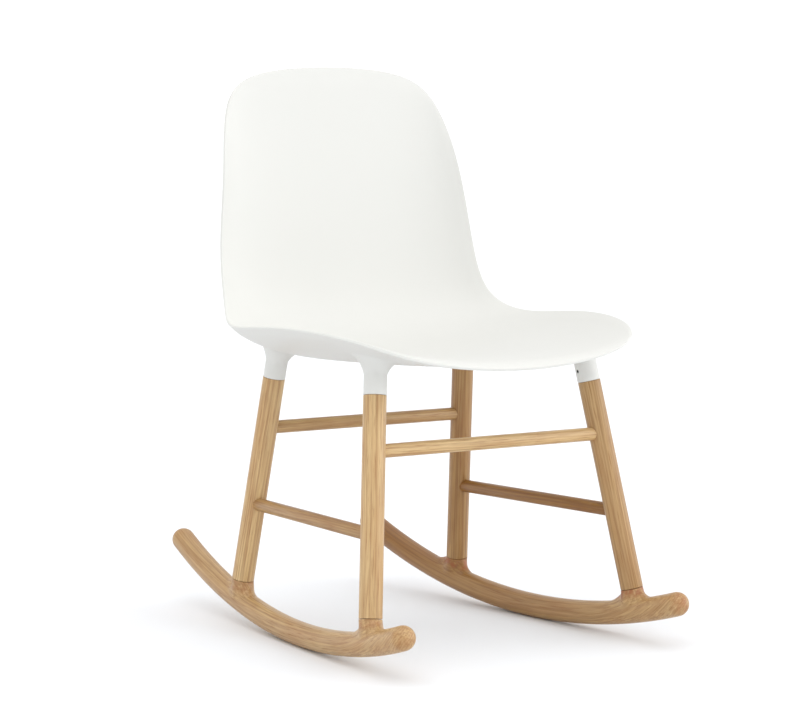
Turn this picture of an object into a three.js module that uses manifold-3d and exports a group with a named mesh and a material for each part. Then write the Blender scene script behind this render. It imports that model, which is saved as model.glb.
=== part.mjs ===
// Rocking chair: a moulded shell seat on a turned oak base with two curved rockers.
// Millimetres. +Z is up, the sitter faces -Y and +X is the sitter's left.
// The origin is on the floor, under the middle of the chair.

import * as THREE from 'three';
import { ParametricGeometry } from 'three/addons/geometries/ParametricGeometry.js';
import { mergeVertices } from 'three/addons/utils/BufferGeometryUtils.js';
import Module from 'manifold-3d';

const wasm = await Module();
wasm.setup();

// ---- Driving dimensions ----------------------------------------------------

const GAP = 0.3; // left between pieces that touch
const REACH = 5; // how far a cutting tool passes the face that it opens

// Seat shell. The rim is a cubic B-spline: these are its control points on the
// sitter's left, from the front middle, round the side, to the top middle.
const RIM_CONTROL = [
  [54, -276, 359],
  [153, -269, 374],
  [201, -239, 395],
  [230, -151, 409],
  [244, -38, 407],
  [233, 52, 396],
  [203, 106, 418],
  [199, 130, 490],
  [185, 136, 592],
  [171, 166, 674],
  [138, 182, 717],
  [51, 184, 729],
];
// The middle of the seat and back, as [y, z] from the front edge to the top edge.
const CENTRE_CONTROL = [
  [-276, 358],
  [-263, 363],
  [-225, 363],
  [-150, 358],
  [-60, 355],
  [10, 353],
  [60, 356],
  [104, 371],
  [134, 402],
  [149, 446],
  [158, 510],
  [168, 590],
  [178, 665],
  [184, 729],
];
const FRONT_CORNER = 0.095; // where the rim's front edge becomes its side, in turns
const TOP_CORNER = 0.405; // where its side becomes the top edge, in turns
const DISH_POWER = 2.8; // how flat the dish stays before its sides rise
const WALL_THICK = 5.2; // at the rim and all over the back
const SEAT_EXTRA = 5; // added in the middle of the seat
const SEAT_START = 0.08; // where along the centre line that extra is all there
const SEAT_END = [0.42, 0.62]; // and where it fades out
const SHELL_WIDTH = 460; // mean length across the shell, for the rounded rim
const SHELL_RUN = 860; // length from front edge to top edge
const SHELL_COLUMNS = 18;
const SHELL_ROWS = 38;

// Legs, from the seam on the rocker stub to the seam under the seat's socket,
// on the sitter's left. The right side is their mirror image.
const LEG_RADIUS = 14.4;
const LEGS = {
  front: { foot: [197.5, -233.2, 65.6], head: [161.7, -187.3, 329.2] },
  rear: { foot: [169.4, 122.5, 60.2], head: [147.5, 77.3, 327.9] },
};
const SPIGOT = { radius: 9, length: 33, chamfer: 1 };

// Sockets moulded under the seat.
const SOCKET_LENGTH = 44; // from the seam to about the underside of the seat
const SOCKET_ROOT = 30; // how far past that it runs on, to be trimmed in the seat's wall
const BELL = { from: 32, to: 46, flare: 6, steps: 5 }; // heights and widening of its mouth
const UNDER_SEAT = { drop: 150, from: 0.03, to: 0.6 }; // where the sockets may be

// Screws that hold the legs in their sockets.
const SCREW = { height: 14.5, turn: 2, shank: 2, head: 4.1, tip: 2, seat: 12, top: 13.6 };
const SCREW_RECESS = 4.5;
const HEX_SOCKET = { radius: 1.6, depth: 1 };

// Dowels between the legs and the rocker stubs.
const DOWEL = { radius: 6, length: 48 };

// Rungs.
const RUNG_RADIUS = 8.5;
const RUNG_INSET = 4; // from the leg's axis to the rung's end
const CROSS_RUNG = { front: 0.746, rear: 0.754 }; // share of the way up the leg
const SIDE_RUNG = { front: 0.373, rear: 0.378 };

// Rockers: round rod bent to an arc that stands upright, turned in at the back.
const ROCKER = { radius: 15.5, floorRadius: 964.5, x: 181.9, y: -41, toe: 4.8 };
// Angles about the arc's centre, in degrees from the lowest point: each end of
// the rod, and each end of the short flat that the chair comes to rest on.
const ROCKER_ANGLES = { front: 16.9, rear: 22.16, rest: 2.4 };
const ROCKER_FACETS = { front: 6, rear: 8 }; // beyond the flat
const DOME_STEP = 0.3; // the rounded end is this much slimmer than the rod
const STUB_LENGTH = 30;

const ROUND = { leg: 24, rung: 20, screw: 16, rod: 24 };

// ---- Materials ---------------------------------------------------------------

const polypropylene = new THREE.MeshStandardMaterial({ color: 0xf2f3ee, roughness: 0.5 });
const oak = new THREE.MeshStandardMaterial({ color: 0xc9a471, roughness: 0.55 });
const beech = new THREE.MeshStandardMaterial({ color: 0xd9b98c, roughness: 0.7 });
const blackSteel = new THREE.MeshStandardMaterial({
  color: 0x2a2a2b,
  roughness: 0.45,
  metalness: 0.8,
});

// ---- Small helpers -------------------------------------------------------------

const vec = (p) => new THREE.Vector3(p[0], p[1], p[2]);
const mirrored = (p, side) => new THREE.Vector3(p[0] * side, p[1], p[2]);
const UP = new THREE.Vector3(0, 0, 1);

// A closed geometry as a solid that can be cut and joined.
function solid(geometry) {
  const bare = geometry.clone();
  bare.deleteAttribute('normal');
  bare.deleteAttribute('uv');
  const merged = mergeVertices(bare, 1e-3);
  const mesh = new wasm.Mesh({
    numProp: 3,
    vertProperties: new Float32Array(merged.attributes.position.array),
    triVerts: new Uint32Array(merged.index.array),
  });
  return new wasm.Manifold(mesh);
}

function geometryOf(manifold) {
  const mesh = manifold.getMesh();
  const geometry = new THREE.BufferGeometry();
  geometry.setAttribute('position', new THREE.BufferAttribute(mesh.vertProperties, 3));
  geometry.setIndex(new THREE.BufferAttribute(mesh.triVerts, 1));
  return geometry;
}

// A turned piece: the profile's [radius, height] points spun about +Z.
function turned(profile, segments) {
  const points = profile.map(([r, h]) => new THREE.Vector2(r, h));
  return new THREE.LatheGeometry(points, segments).rotateX(Math.PI / 2);
}

function rod(radius, from, to, segments) {
  return turned([[0, from], [radius, from], [radius, to], [0, to]], segments);
}

// The turn that takes +Z to a direction.
function facing(direction) {
  return new THREE.Quaternion().setFromUnitVectors(UP, direction.clone().normalize());
}

function moved(geometry, place, direction) {
  const matrix = new THREE.Matrix4().compose(place, facing(direction), vec([1, 1, 1]));
  return geometry.applyMatrix4(matrix);
}

const chair = new THREE.Group();

function add(name, geometry, material, place, turn) {
  const mesh = new THREE.Mesh(geometry, material);
  mesh.name = name;
  if (place) mesh.position.copy(place);
  if (turn) mesh.quaternion.copy(turn);
  chair.add(mesh);
}

// ---- Seat shell ------------------------------------------------------------------

// A uniform cubic B-spline. An open one starts and ends at its end points.
function bspline(points, t, closed) {
  const count = points.length;
  const place = closed ? (((t % 1) + 1) % 1) * count : t * (count - 1);
  const first = Math.min(Math.floor(place), closed ? count - 1 : count - 2);
  const f = place - first;
  const weights = [
    (1 - f) ** 3,
    3 * f ** 3 - 6 * f ** 2 + 4,
    -3 * f ** 3 + 3 * f ** 2 + 3 * f + 1,
    f ** 3,
  ];
  const control = (i) => {
    if (closed) return points[(i + count) % count];
    if (i < 0) return points[0].map((a, k) => 2 * a - points[1][k]);
    if (i >= count) return points[count - 1].map((a, k) => 2 * a - points[count - 2][k]);
    return points[i];
  };
  return points[0].map((_, k) =>
    weights.reduce((sum, w, i) => sum + (w * control(first - 1 + i)[k]) / 6, 0));
}

const rimRight = RIM_CONTROL.map(([x, y, z]) => [-x, y, z]).reverse();
const rimControl = [...RIM_CONTROL, ...rimRight];

// A point of the rim: 0 turns is the front middle, 0.5 the top middle.
function rim(turns) {
  return vec(bspline(rimControl, turns - 0.5 / rimControl.length, true));
}

// A patch stretched between the rim's four sides: u runs from the sitter's
// right to the left, v from the front edge to the top edge.
function stretched(u, v) {
  const along = FRONT_CORNER + (TOP_CORNER - FRONT_CORNER) * v;
  const front = rim((2 * u - 1) * FRONT_CORNER);
  const top = rim(1 - TOP_CORNER + (2 * TOP_CORNER - 1) * u);
  const p = new THREE.Vector3();
  p.addScaledVector(front, 1 - v).addScaledVector(top, v);
  p.addScaledVector(rim(-along), 1 - u).addScaledVector(rim(along), u);
  p.addScaledVector(rim(-FRONT_CORNER), -(1 - u) * (1 - v));
  p.addScaledVector(rim(FRONT_CORNER), -u * (1 - v));
  p.addScaledVector(rim(-TOP_CORNER), -(1 - u) * v);
  p.addScaledVector(rim(TOP_CORNER), -u * v);
  return p;
}

const centreLine = (v) => {
  const [y, z] = bspline(CENTRE_CONTROL, v, false);
  return new THREE.Vector3(0, y, z);
};
const frontMiss = centreLine(0).sub(rim(0));
const topMiss = centreLine(1).sub(rim(0.5));

// The middle of the shell's wall: the patch, dished down to the centre line.
function middle(u, v) {
  const dish = centreLine(v).sub(stretched(0.5, v));
  dish.addScaledVector(frontMiss, v - 1).addScaledVector(topMiss, -v);
  const depth = 1 - Math.abs(2 * u - 1) ** DISH_POWER;
  return stretched(u, v).addScaledVector(dish, depth);
}

function shellNormal(u, v) {
  const step = 0.004;
  const low = (a) => Math.max(a - step, 0);
  const high = (a) => Math.min(a + step, 1);
  const across = middle(high(u), v).sub(middle(low(u), v));
  const along = middle(u, high(v)).sub(middle(u, low(v)));
  return across.cross(along).normalize();
}

// The wall is thickest in the middle of the seat, which carries the sockets.
function wallThickness(u, v) {
  const seat = 1 - THREE.MathUtils.smoothstep(v, ...SEAT_END);
  const front = THREE.MathUtils.smoothstep(v, 0, SEAT_START);
  return WALL_THICK + SEAT_EXTRA * seat * front * (1 - (2 * u - 1) ** 2);
}

// Evenly spaced rows, but with the first and last one close to the edge.
function graded(t, rows, edge) {
  const row = t * rows;
  if (row <= 1) return row * edge;
  if (row >= rows - 1) return 1 - (rows - row) * edge;
  return edge + ((row - 1) / (rows - 2)) * (1 - 2 * edge);
}

// The wall's thickness falls to nothing at the rim, as half a circle.
function rimRounding(t, edge) {
  const inwards = Math.min(t, 1 - t, edge) / edge;
  return Math.sqrt(1 - (1 - inwards) ** 2);
}

// A closed body on both sides of the wall's middle. The first half of the
// outer turn is the upper face and the second half is the lower one.
function wallSolid(upper, lower, vFrom, vTo) {
  const edgeU = WALL_THICK / 2 / SHELL_WIDTH;
  const edgeV = WALL_THICK / 2 / SHELL_RUN;
  const point = (turn, t, target) => {
    const onTop = turn <= 0.5;
    const u = graded(onTop ? 2 * turn : 2 - 2 * turn, SHELL_COLUMNS, edgeU);
    const row = graded(t, SHELL_ROWS, edgeV);
    const v = vFrom + (vTo - vFrom) * row;
    const depth = rimRounding(u, edgeU) * rimRounding(row, edgeV);
    const offset = (onTop ? upper : lower)(shellNormal(u, v), wallThickness(u, v) / 2);
    target.copy(middle(u, v)).addScaledVector(offset, depth);
  };
  return solid(new ParametricGeometry(point, 2 * SHELL_COLUMNS, SHELL_ROWS));
}

const shellWall = wallSolid(
  (normal, half) => normal.multiplyScalar(half),
  (normal, half) => normal.multiplyScalar(-half),
  0, 1);

// Everything from the middle of the seat's wall down to well under the sockets.
const underSeat = wallSolid(
  (normal) => normal.multiplyScalar(0),
  () => vec([0, 0, -UNDER_SEAT.drop]),
  UNDER_SEAT.from, UNDER_SEAT.to);

function socketBody() {
  const flare = [];
  for (let i = 0; i <= BELL.steps; i++) {
    const share = i / BELL.steps;
    const height = THREE.MathUtils.lerp(BELL.from, BELL.to, share);
    flare.push([LEG_RADIUS + BELL.flare * share ** 3, height]);
  }
  const top = SOCKET_LENGTH + SOCKET_ROOT;
  const widest = LEG_RADIUS + BELL.flare;
  const profile = [[0, GAP / 2], [LEG_RADIUS, GAP / 2], ...flare, [widest, top], [0, top]];
  return turned(profile, ROUND.leg);
}

// ---- Where the legs and their screws stand ------------------------------------------

const SIDES = { left: 1, right: -1 };
const legs = [];
for (const [end, { foot, head }] of Object.entries(LEGS)) {
  for (const [side, sign] of Object.entries(SIDES)) {
    const from = mirrored(foot, sign);
    const to = mirrored(head, sign);
    const axis = to.clone().sub(from);
    const length = axis.length();
    axis.normalize();
    // The screw points at the leg from the inner side, a little towards the other leg.
    const turn = THREE.MathUtils.degToRad(SCREW.turn);
    const towardsMate = end === 'front' ? 1 : -1;
    const outOfScrew = vec([-sign * Math.cos(turn), towardsMate * Math.sin(turn), 0]);
    outOfScrew.addScaledVector(axis, -outOfScrew.dot(axis)).normalize();
    const screwPlace = to.clone().addScaledVector(axis, SCREW.height);
    legs.push({ end, side, sign, from, to, axis, length, outOfScrew, screwPlace });
  }
}
const legAt = (end, side) => legs.find((leg) => leg.end === end && leg.side === side);

// The rungs, each from a point on one leg's axis to a point on another's.
const rungs = [];
const upLeg = (leg, share) => leg.from.clone().lerp(leg.to, share);
for (const end of ['front', 'rear']) {
  const ends = ['left', 'right'].map((side) => ({ leg: legAt(end, side), share: CROSS_RUNG[end] }));
  rungs.push({ name: `rung_${end}`, ends });
}
for (const side of ['left', 'right']) {
  const ends = ['front', 'rear'].map((end) => ({ leg: legAt(end, side), share: SIDE_RUNG[end] }));
  rungs.push({ name: `rung_${side}`, ends });
}
for (const rung of rungs) {
  const [a, b] = rung.ends.map(({ leg, share }) => upLeg(leg, share));
  rung.start = a;
  rung.direction = b.clone().sub(a).normalize();
  rung.span = a.distanceTo(b);
}

// ---- The shell with its sockets ---------------------------------------------------------

let shell = shellWall;
for (const leg of legs) {
  shell = shell.add(solid(moved(socketBody(), leg.to, leg.axis)).intersect(underSeat));
}
for (const leg of legs) {
  const bore = rod(SPIGOT.radius + GAP, -REACH, SPIGOT.length + GAP, ROUND.leg);
  const recess = rod(SCREW_RECESS, SCREW.seat - GAP, LEG_RADIUS + REACH, ROUND.screw);
  const hole = rod(SCREW.shank + GAP, SPIGOT.radius - REACH, LEG_RADIUS, ROUND.screw);
  shell = shell.subtract(solid(moved(bore, leg.to, leg.axis)));
  shell = shell.subtract(solid(moved(recess, leg.screwPlace, leg.outOfScrew)));
  shell = shell.subtract(solid(moved(hole, leg.screwPlace, leg.outOfScrew)));
}
add('seat_shell', geometryOf(shell), polypropylene);

// ---- Legs, screws and dowels ---------------------------------------------------------------

// A leg stands on its own origin, along +Z, and is placed by its mesh.
function legGeometry(leg) {
  const shoulder = leg.length - GAP / 2;
  const tip = leg.length + SPIGOT.length;
  const body = turned([
    [0, 0],
    [LEG_RADIUS, 0],
    [LEG_RADIUS, shoulder],
    [SPIGOT.radius, shoulder],
    [SPIGOT.radius, tip - SPIGOT.chamfer],
    [SPIGOT.radius - SPIGOT.chamfer, tip],
    [0, tip],
  ], ROUND.leg);
  let result = solid(body);
  const back = facing(leg.axis).invert();
  const cut = (geometry, place, direction) => {
    const local = place.clone().sub(leg.from).applyQuaternion(back);
    const tool = moved(geometry, local, direction.clone().applyQuaternion(back));
    result = result.subtract(solid(tool));
  };
  const pilot = rod(SCREW.shank + GAP, SCREW.tip - GAP, SPIGOT.radius + REACH, ROUND.screw);
  cut(pilot, leg.screwPlace, leg.outOfScrew);
  const dowelHole = rod(DOWEL.radius + GAP, -REACH, DOWEL.length / 2 + GAP, ROUND.screw);
  cut(dowelHole, leg.from, leg.axis);
  for (const rung of rungs) {
    rung.ends.forEach(({ leg: owner, share }, i) => {
      if (owner !== leg) return;
      const outwards = rung.direction.clone().multiplyScalar(i === 0 ? 1 : -1);
      const mortise = rod(RUNG_RADIUS + GAP, RUNG_INSET - GAP, LEG_RADIUS + REACH, ROUND.rung);
      cut(mortise, upLeg(leg, share), outwards);
    });
  }
  return geometryOf(result);
}

function screwGeometry() {
  const body = turned([
    [0, SCREW.tip],
    [SCREW.shank, SCREW.tip],
    [SCREW.shank, SCREW.seat],
    [SCREW.head, SCREW.seat],
    [SCREW.head, SCREW.top],
    [0, SCREW.top],
  ], ROUND.screw);
  const socket = rod(HEX_SOCKET.radius, SCREW.top - HEX_SOCKET.depth, SCREW.top + REACH, 6);
  return geometryOf(solid(body).subtract(solid(socket)));
}

for (const leg of legs) {
  const { end, side } = leg;
  add(`leg_${end}_${side}`, legGeometry(leg), oak, leg.from, facing(leg.axis));
  add(`leg_screw_${end}_${side}`, screwGeometry(), blackSteel, leg.screwPlace, facing(leg.outOfScrew));
  const dowel = rod(DOWEL.radius, -DOWEL.length / 2, DOWEL.length / 2, ROUND.screw);
  add(`dowel_${end}_${side}`, dowel, beech, leg.from, facing(leg.axis));
}

// ---- Rungs ------------------------------------------------------------------------------------

for (const rung of rungs) {
  const geometry = rod(RUNG_RADIUS, RUNG_INSET, rung.span - RUNG_INSET, ROUND.rung);
  add(rung.name, geometry, oak, rung.start, facing(rung.direction));
}

// ---- Rockers ------------------------------------------------------------------------------------

// The rod's centre line, in a rocker's own frame: its lowest point is over the
// origin. The corners lie a little outside the true arc, so that each straight
// facet touches it in its middle, and the lowest one lies flat on the floor.
class RockerArc extends THREE.Curve {
  constructor() {
    super();
    const { front, rear, rest } = ROCKER_ANGLES;
    const corner = (degrees, halfFacet) => {
      const angle = THREE.MathUtils.degToRad(degrees);
      const reach = THREE.MathUtils.degToRad(halfFacet);
      const bend = (ROCKER.floorRadius - ROCKER.radius) / Math.cos(reach);
      const height = ROCKER.floorRadius - bend * Math.cos(angle);
      return new THREE.Vector3(0, bend * Math.sin(angle), height);
    };
    const beyond = (end, count, sign) => {
      const step = (end - rest) / count;
      const corners = [];
      for (let i = 1; i <= count; i++) corners.push(corner(sign * (rest + i * step), step / 2));
      return corners;
    };
    this.corners = [
      ...beyond(front, ROCKER_FACETS.front, -1).reverse(),
      corner(-rest, rest),
      corner(rest, rest),
      ...beyond(rear, ROCKER_FACETS.rear, 1),
    ];
  }

  getPoint(t, target = new THREE.Vector3()) {
    const place = t * (this.corners.length - 1);
    const first = Math.min(Math.floor(place), this.corners.length - 2);
    return target.lerpVectors(this.corners[first], this.corners[first + 1], place - first);
  }

  getPointAt(t, target) {
    return this.getPoint(t, target);
  }
}

// The rounded end of the rod, rooted a little way inside it.
function domeBody() {
  const radius = ROCKER.radius - DOME_STEP;
  const profile = [[0, -radius / 2], [radius, -radius / 2]];
  const steps = 5;
  for (let i = 0; i <= steps; i++) {
    const angle = (i / steps) * (Math.PI / 2);
    profile.push([radius * Math.cos(angle), radius * Math.sin(angle)]);
  }
  profile[profile.length - 1][0] = 0;
  return turned(profile, ROUND.rod);
}

function rockerGeometry(sign) {
  const arc = new RockerArc();
  const halfFacet = Math.PI / ROUND.rod;
  const section = new THREE.Shape();
  const corner = ROCKER.radius / Math.cos(halfFacet);
  section.absarc(0, 0, corner, halfFacet, 2 * Math.PI + halfFacet);
  let result = solid(new THREE.ExtrudeGeometry(section, {
    steps: arc.corners.length - 1,
    curveSegments: ROUND.rod / 2,
    extrudePath: arc,
  }));
  for (const [t, outwards] of [[0, -1], [1, 1]]) {
    const direction = arc.getTangent(t).multiplyScalar(outwards);
    result = result.add(solid(moved(domeBody(), arc.getPoint(t), direction)));
  }
  const place = mirrored([ROCKER.x, ROCKER.y, 0], sign);
  const toe = THREE.MathUtils.degToRad(ROCKER.toe) * sign;
  const intoFrame = new THREE.Quaternion().setFromAxisAngle(UP, -toe);
  const dowelHole = () => rod(DOWEL.radius + GAP, -DOWEL.length / 2 - GAP, REACH, ROUND.screw);
  const stubBody = () => rod(LEG_RADIUS, -STUB_LENGTH, -GAP, ROUND.leg);
  for (const leg of legs.filter((each) => each.sign === sign)) {
    const foot = leg.from.clone().sub(place).applyQuaternion(intoFrame);
    const axis = leg.axis.clone().applyQuaternion(intoFrame);
    result = result.add(solid(moved(stubBody(), foot, axis)));
    result = result.subtract(solid(moved(dowelHole(), foot, axis)));
  }
  return { geometry: geometryOf(result), place, turn: intoFrame.invert() };
}

for (const [side, sign] of Object.entries(SIDES)) {
  const { geometry, place, turn } = rockerGeometry(sign);
  add(`rocker_${side}`, geometry, oak, place, turn);
}

export default chair;
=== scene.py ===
"""Rocking chair: a moulded polypropylene shell on a turned oak base with two curved rockers.

Metres. +Z is up, the sitter faces -Y and +X is the sitter's left. The origin is on the floor,
under the middle of the chair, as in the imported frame.
"""

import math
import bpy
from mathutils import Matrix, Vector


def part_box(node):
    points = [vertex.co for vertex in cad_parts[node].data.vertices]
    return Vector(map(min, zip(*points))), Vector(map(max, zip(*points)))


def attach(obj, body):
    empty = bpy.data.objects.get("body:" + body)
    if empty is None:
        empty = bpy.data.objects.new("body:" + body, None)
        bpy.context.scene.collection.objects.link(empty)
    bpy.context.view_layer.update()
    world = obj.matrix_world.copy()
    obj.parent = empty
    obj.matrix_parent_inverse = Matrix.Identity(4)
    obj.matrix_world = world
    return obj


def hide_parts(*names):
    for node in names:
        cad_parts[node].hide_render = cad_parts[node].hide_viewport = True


bl_info = {
    "name": "Rocking Chair",
    "version": (1, 0, 0),
    "blender": (4, 5, 0),
    "location": "View3D > Sidebar > Rocking Chair",
    "description": "Builds the shell, legs, rungs, rockers and screws round the chair's frame",
    "category": "Add Mesh",
}

import bmesh
import bpy
import numpy as np
from mathutils import Matrix, Vector
from mathutils.bvhtree import BVHTree

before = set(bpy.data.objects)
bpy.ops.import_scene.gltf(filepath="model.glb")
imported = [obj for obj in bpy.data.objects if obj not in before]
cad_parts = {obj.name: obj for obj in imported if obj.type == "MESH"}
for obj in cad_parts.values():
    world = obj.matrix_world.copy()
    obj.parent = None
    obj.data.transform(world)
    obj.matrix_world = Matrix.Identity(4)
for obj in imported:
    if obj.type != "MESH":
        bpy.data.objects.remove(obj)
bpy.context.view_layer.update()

# ---- Sizes that the frame is made to, in metres --------------------------------------------------

MM = 0.001
UP = Vector((0, 0, 1))
SIDES = {"left": 1, "right": -1}
GAP = 0.3 * MM  # left between pieces that touch

# The rim's control points on the sitter's left, from the front middle to the top middle, in mm.
RIM_CONTROL = (
    (54, -276, 359), (153, -269, 374), (201, -239, 395), (230, -151, 409),
    (244, -38, 407), (233, 52, 396), (203, 106, 418), (199, 130, 490),
    (185, 136, 592), (171, 166, 674), (138, 182, 717), (51, 184, 729),
)
# The middle of the seat and back as (y, z), from the front edge to the top edge, in mm.
CENTRE_CONTROL = (
    (-276, 358), (-263, 363), (-225, 363), (-150, 358), (-60, 355), (10, 353), (60, 356),
    (104, 371), (134, 402), (149, 446), (158, 510), (168, 590), (178, 665), (184, 729),
)
FRONT_CORNER = 0.095  # where the rim's front edge becomes its side, in turns
TOP_CORNER = 0.405  # where its side becomes the top edge, in turns
DISH_POWER = 2.8  # how flat the dish stays before its sides rise
SEAT_START = 0.08  # where along the centre line the seat's extra thickness is all there
SEAT_END = (0.42, 0.62)  # and where it fades out
SHELL_WIDTH = 460 * MM  # mean length across the shell, for the rounded rim
SHELL_RUN = 860 * MM  # length from the front edge to the top edge
RIM_TAPER = 24 * MM  # how far in from the rim the wall has its full thickness

# Each leg's axis on the sitter's left: the seam on the rocker stub, the seam under the socket.
LEGS = {
    "front": (Vector((197.5, -233.2, 65.6)) * MM, Vector((161.7, -187.3, 329.2)) * MM),
    "rear": (Vector((169.4, 122.5, 60.2)) * MM, Vector((147.5, 77.3, 327.9)) * MM),
}
SPIGOT_RADIUS, SPIGOT_LENGTH = 9 * MM, 33 * MM
DOWEL_RADIUS, DOWEL_REACH = 6 * MM, 24 * MM
SCREW_HEIGHT = 14.5 * MM  # above the seam
SCREW_TURN = math.radians(2)  # towards the other leg of the same side
SCREW_SHANK, SCREW_HEAD, SCREW_HEX = 2 * MM, 4.1 * MM, 1.6 * MM
SCREW_TIP, SCREW_SEAT, SCREW_TOP = 2 * MM, 12 * MM, 13.6 * MM
RECESS_RADIUS = 4.5 * MM
RUNG_INSET = 4 * MM  # from the leg's axis to the rung's end
CROSS_RUNG = {"front": 0.746, "rear": 0.754}  # share of the way up the leg
SIDE_RUNG = {"front": 0.373, "rear": 0.378}
FLOOR_RADIUS = 964.5 * MM  # of the arc that the rockers roll on
ROCKER_PLACE = Vector((181.9, -41, 0)) * MM
ROCKER_TOE = math.radians(4.8)
ROCKER_ENDS = (math.radians(-16.9), math.radians(22.16))  # angles about the arc's centre
STUB_FOOT = 0.96  # half width of a stub's foot, as a share of the rod's radius
STUB_POWER = 2.2  # how full the foot's oval is: 2 is an ellipse

# A flare is a curve in shares of its width and rise.
FLARE_WIDTHS = (0.2, 0.55)  # how far out its two middle control points are
FLARE_RISE = 0.5  # how far along the first one is
FLARE_RUN = 0.55  # the share of its width that it arrives along the wall's slope
FLARE_CLIMB = 0.45  # the most of its rise that this may take
POST_SINK = 1.5 * MM  # how deep a post's hidden end is buried in its wall
POST_STEP = 0.05 * MM  # how finely a column is drawn in until it meets the wall
SLOPE_RUN = 0.5 * MM  # the length over which the wall's slope is read
WALL_COLUMNS, WALL_ROWS = 76, 140  # of the shell's grid, between its rims

# The stage. Heights and cosines are of the unit vector that is looked along.
DIMMING = (0.07, 0.25)  # the heights between which the studio dims
DIMMED = 0.68  # what is left of its light higher up
GLOW_WAY = Vector((0.8, -0.55, 0.2)).normalized()  # towards the soft light on the right
GLOW_EDGES = (0.75, 0.97)  # cosines of its outer and inner edge
SOFTBOX_WAY = Vector((-0.18, -0.2, 1))  # towards the broad light overhead
SOFTBOX_WIDTH = math.radians(75)
CAMERA_AZIMUTH, CAMERA_ELEVATION = math.radians(-33.07), math.radians(5.4)
CAMERA_HEIGHT, CAMERA_SHIFT = 349.1 * MM, 0.5 * MM  # of its target: up, and to the left
CAMERA_DISTANCE = 3677.7 * MM
CAMERA_SENSOR, CAMERA_LENS = 36, 126.94  # millimetres
FLOOR_REACH = 40  # metres from the middle to each edge

# ---- What a user would change --------------------------------------------------------------------


def linear(code):
    """An sRGB hex colour as the linear colour that shaders and colour properties take."""
    parts = [int(code[i : i + 2], 16) / 255 for i in (1, 3, 5)]
    return [c / 12.92 if c <= 0.04045 else ((c + 0.055) / 1.055) ** 2.4 for c in parts] + [1]


class ShellSettings(bpy.types.PropertyGroup):
    wall: bpy.props.FloatProperty(
        name="Wall", description="Thickness of the shell all over the back",
        default=5.2 * MM, min=3 * MM, max=8 * MM, unit="LENGTH", precision=4)
    rim: bpy.props.FloatProperty(
        name="Rim", description="Thickness of the shell at its very edge",
        default=3 * MM, min=1 * MM, max=8 * MM, unit="LENGTH", precision=4)
    seat_extra: bpy.props.FloatProperty(
        name="Seat extra", description="Thickness added in the middle of the seat",
        default=5 * MM, min=0, max=8 * MM, unit="LENGTH", precision=4)
    socket_flare: bpy.props.FloatVectorProperty(
        name="Socket flare", description="Width and height over which a socket flows into the seat",
        default=(16 * MM, 14 * MM), size=2, min=2 * MM, max=30 * MM, unit="LENGTH", precision=4)
    colour: bpy.props.FloatVectorProperty(
        name="Colour", description="Colour of the moulded polypropylene",
        default=linear("#D6D6D2"), size=4, min=0, max=1, subtype="COLOR")


class BaseSettings(bpy.types.PropertyGroup):
    leg_radius: bpy.props.FloatProperty(
        name="Leg radius", description="Radius of the legs, their sockets and the rocker stubs",
        default=14.4 * MM, min=10 * MM, max=20 * MM, unit="LENGTH", precision=4)
    rung_radius: bpy.props.FloatProperty(
        name="Rung radius", description="Radius of the four rungs",
        default=8.5 * MM, min=5 * MM, max=12 * MM, unit="LENGTH", precision=4)
    rocker_radius: bpy.props.FloatProperty(
        name="Rocker radius", description="Radius of the round rod of the rockers",
        default=15.5 * MM, min=10 * MM, max=20 * MM, unit="LENGTH", precision=4)
    stub_flare: bpy.props.FloatVectorProperty(
        name="Stub flare", description="How far a stub flares towards the front, the back and down",
        default=(20 * MM, 34 * MM, 40 * MM), size=3, min=2 * MM, max=60 * MM, unit="LENGTH",
        precision=4)
    light_oak: bpy.props.FloatVectorProperty(
        name="Light oak", description="Colour of the oak between its pores",
        default=linear("#D9BC8A"), size=4, min=0, max=1, subtype="COLOR")
    dark_oak: bpy.props.FloatVectorProperty(
        name="Dark oak", description="Colour of the oak in its pores and early wood",
        default=linear("#875628"), size=4, min=0, max=1, subtype="COLOR")


class StageSettings(bpy.types.PropertyGroup):
    floor_colour: bpy.props.FloatVectorProperty(
        name="Floor", description="Colour of the plain floor",
        default=linear("#EEF0F3"), size=4, min=0, max=1, subtype="COLOR")
    surround: bpy.props.FloatProperty(
        name="Surround", description="Strength of the white light from all round, low down",
        default=1.4, min=0, max=3)
    key_power: bpy.props.FloatProperty(
        name="Overhead light", description="Strength of the broad light from above",
        default=0.95, min=0, max=20)
    side_light: bpy.props.FloatProperty(
        name="Side light", description="Strength of the soft light on the right",
        default=1.5, min=0, max=20)


# ---- Materials -----------------------------------------------------------------------------------


def add_node(tree, kind, inputs, **settings):
    """Adds a node: inputs are values, or output sockets to link; settings are its own fields."""
    made = tree.nodes.new(kind)
    for name, value in settings.items():
        setattr(made, name, value)
    for key, value in inputs.items():
        if isinstance(value, bpy.types.NodeSocket):
            tree.links.new(value, made.inputs[key])
        else:
            made.inputs[key].default_value = value
    return made


def start_material(name):
    """A new material and its empty node tree."""
    material = bpy.data.materials.new(name)
    material.use_nodes = True
    material.node_tree.nodes.clear()
    return material, material.node_tree


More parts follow.
